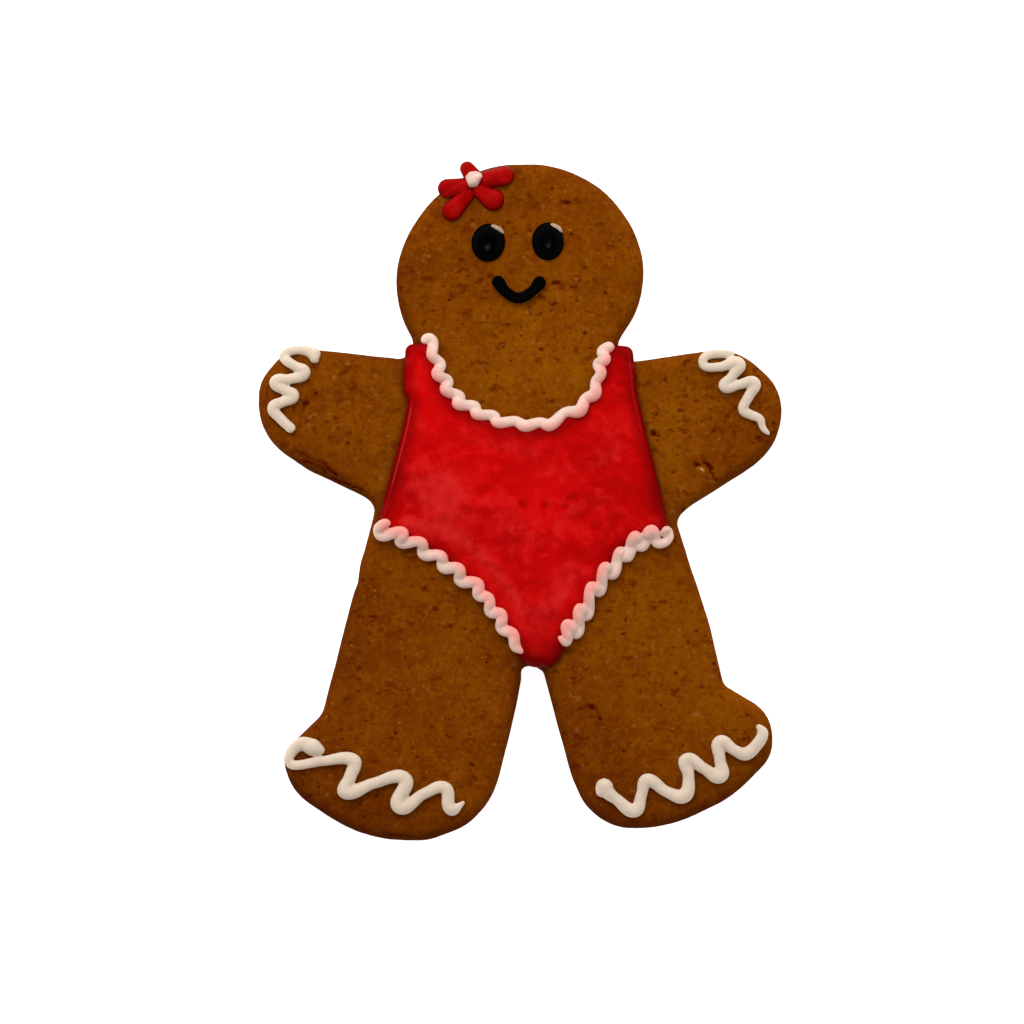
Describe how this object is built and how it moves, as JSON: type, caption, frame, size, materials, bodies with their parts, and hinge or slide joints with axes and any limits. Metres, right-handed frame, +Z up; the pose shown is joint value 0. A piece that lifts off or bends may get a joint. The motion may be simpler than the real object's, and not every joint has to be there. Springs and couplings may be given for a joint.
{
  "type": "gingerbread man cookie",
  "caption": "Flat figure-shaped gingerbread cookie with a flooded red swimsuit, white piped trims and zigzags, black eyes and smile, and a small icing flower on the head.",
  "frame": {"origin": "middle of the outline's bounding box, on the flat underside that the cookie rests on", "axes": "+Z up out of the decorated face, +Y towards the head, +X towards the arm on the right of the picture"},
  "size_m": [0.124, 0.1608, 0.0116],
  "materials": {
    "gingerbread": "baked gingerbread: warm brown, matt, finely pored, darker towards its edges",
    "suit_icing": "flooded red royal icing: satin, with paler clouded strokes",
    "trim_icing": "piped cream-white royal icing, pink where the red has bled into it",
    "zigzag_icing": "piped cream-white royal icing, satin",
    "eye_icing": "black icing, smooth and glossy",
    "glint_icing": "cream-white icing, satin",
    "smile_icing": "black icing, satin",
    "petal_icing": "deep red royal icing, satin",
    "flower_middle_icing": "cream-white royal icing, satin"
  },
  "bodies": {
    "root": {"gingerbread": "gingerbread", "suit_icing": "suit_icing", "trim_neckline": "trim_icing", "trim_left_leg": "trim_icing", "trim_right_leg": "trim_icing", "zigzag_left_hand": "zigzag_icing", "zigzag_right_hand": "zigzag_icing", "zigzag_left_foot": "zigzag_icing", "zigzag_right_foot": "zigzag_icing", "eye_left": "eye_icing", "eye_right": "eye_icing", "glint_left": "glint_icing", "glint_right": "glint_icing", "smile": "smile_icing", "petal_top": "petal_icing", "petal_left": "petal_icing", "petal_bottom_left": "petal_icing", "petal_bottom_right": "petal_icing", "petal_right": "petal_icing", "flower_middle": "flower_middle_icing"}
  },
  "joints": []
}
